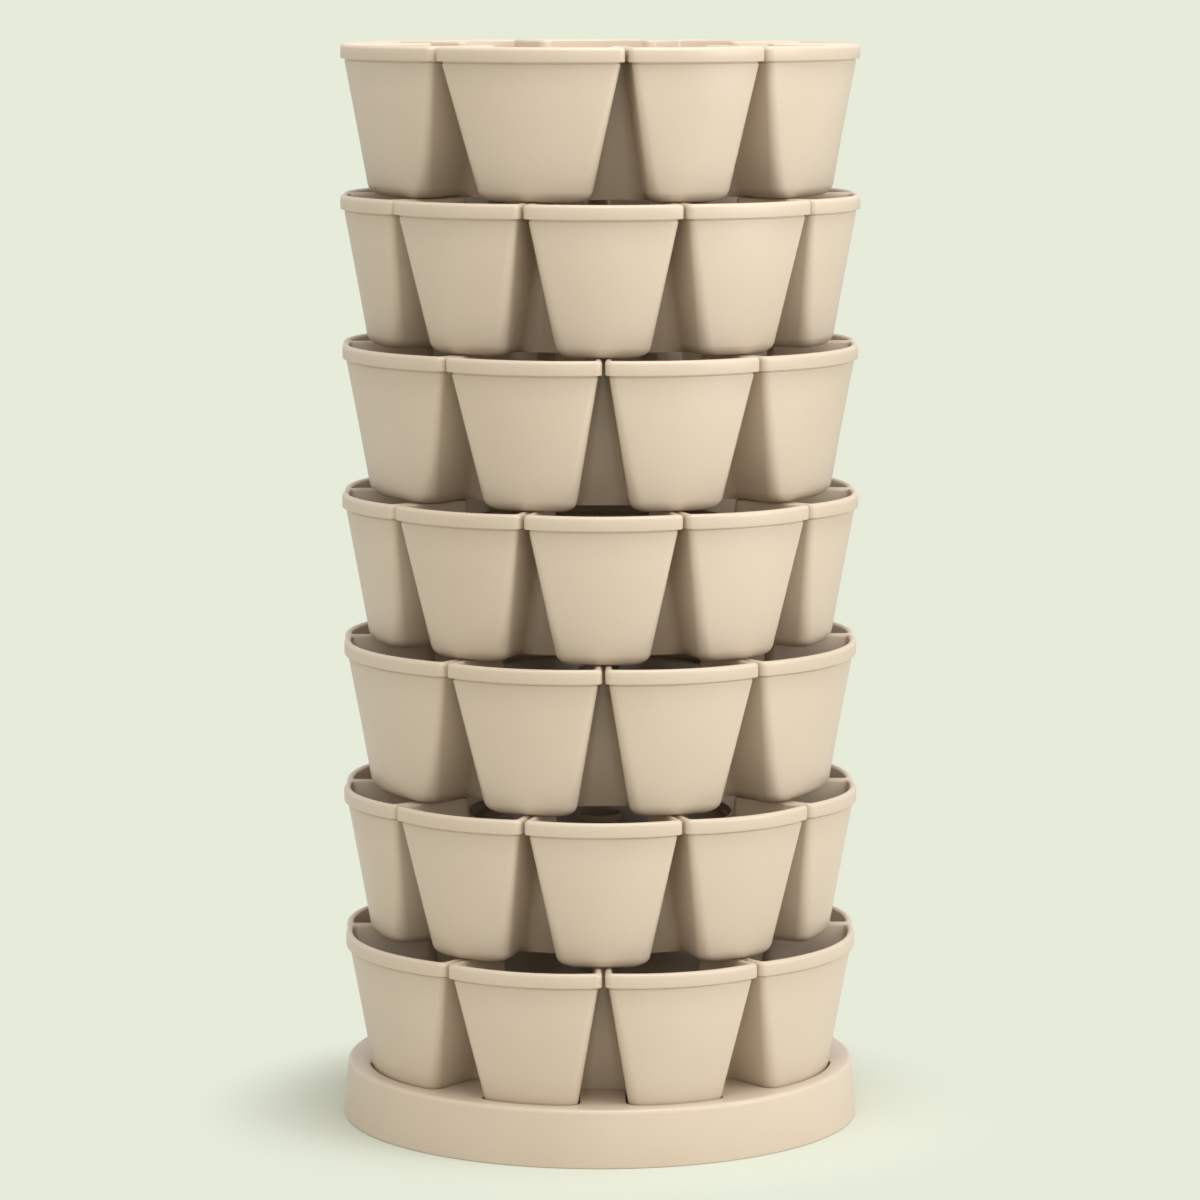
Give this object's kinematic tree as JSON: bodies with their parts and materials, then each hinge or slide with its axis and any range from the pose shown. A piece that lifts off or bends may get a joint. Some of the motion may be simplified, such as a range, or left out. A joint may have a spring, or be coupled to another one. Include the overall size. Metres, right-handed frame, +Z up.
{
  "type": "vertical planter tower",
  "caption": "Vertical planter tower: lobed moulded tiers stacked on a round stand, with open planting pockets all round and a water disc inside each tier.",
  "frame": {"origin": "centre of the stand's foot on the floor", "axes": "+Z up along the stack; the front faces -Y, where a slot of the lowest tier is"},
  "size_m": [0.457, 0.46, 0.948],
  "materials": {
    "tier_plastic": "moulded satin",
    "disc_plastic": "moulded satin",
    "stand_plastic": "moulded satin"
  },
  "bodies": {
    "stand": {"base_stand": "stand_plastic"},
    "tier_1": {"planter_tier_1": "tier_plastic", "water_disc_1": "disc_plastic"},
    "tier_2": {"planter_tier_2": "tier_plastic", "water_disc_2": "disc_plastic"},
    "tier_3": {"planter_tier_3": "tier_plastic", "water_disc_3": "disc_plastic"},
    "tier_4": {"planter_tier_4": "tier_plastic", "water_disc_4": "disc_plastic"},
    "tier_5": {"planter_tier_5": "tier_plastic", "water_disc_5": "disc_plastic"},
    "tier_6": {"planter_tier_6": "tier_plastic", "water_disc_6": "disc_plastic"},
    "tier_7": {"planter_tier_7": "tier_plastic"},
    "top_disc": {"water_disc_7": "disc_plastic"}
  },
  "joints": [
    {"name": "tier_1_lift", "type": "slide", "parent": "stand", "child": "tier_1", "axis": [0, 0, 1], "range_m": [0, 0.06]},
    {"name": "tier_2_lift", "type": "slide", "parent": "tier_1", "child": "tier_2", "axis": [0, 0, 1], "range_m": [0, 0.06]},
    {"name": "tier_3_lift", "type": "slide", "parent": "tier_2", "child": "tier_3", "axis": [0, 0, 1], "range_m": [0, 0.06]},
    {"name": "tier_4_lift", "type": "slide", "parent": "tier_3", "child": "tier_4", "axis": [0, 0, 1], "range_m": [0, 0.06]},
    {"name": "tier_5_lift", "type": "slide", "parent": "tier_4", "child": "tier_5", "axis": [0, 0, 1], "range_m": [0, 0.06]},
    {"name": "tier_6_lift", "type": "slide", "parent": "tier_5", "child": "tier_6", "axis": [0, 0, 1], "range_m": [0, 0.06]},
    {"name": "tier_7_lift", "type": "slide", "parent": "tier_6", "child": "tier_7", "axis": [0, 0, 1], "range_m": [0, 0.06]},
    {"name": "top_disc_lift", "type": "slide", "parent": "tier_7", "child": "top_disc", "axis": [0, 0, 1], "range_m": [0, 0.06]}
  ]
}
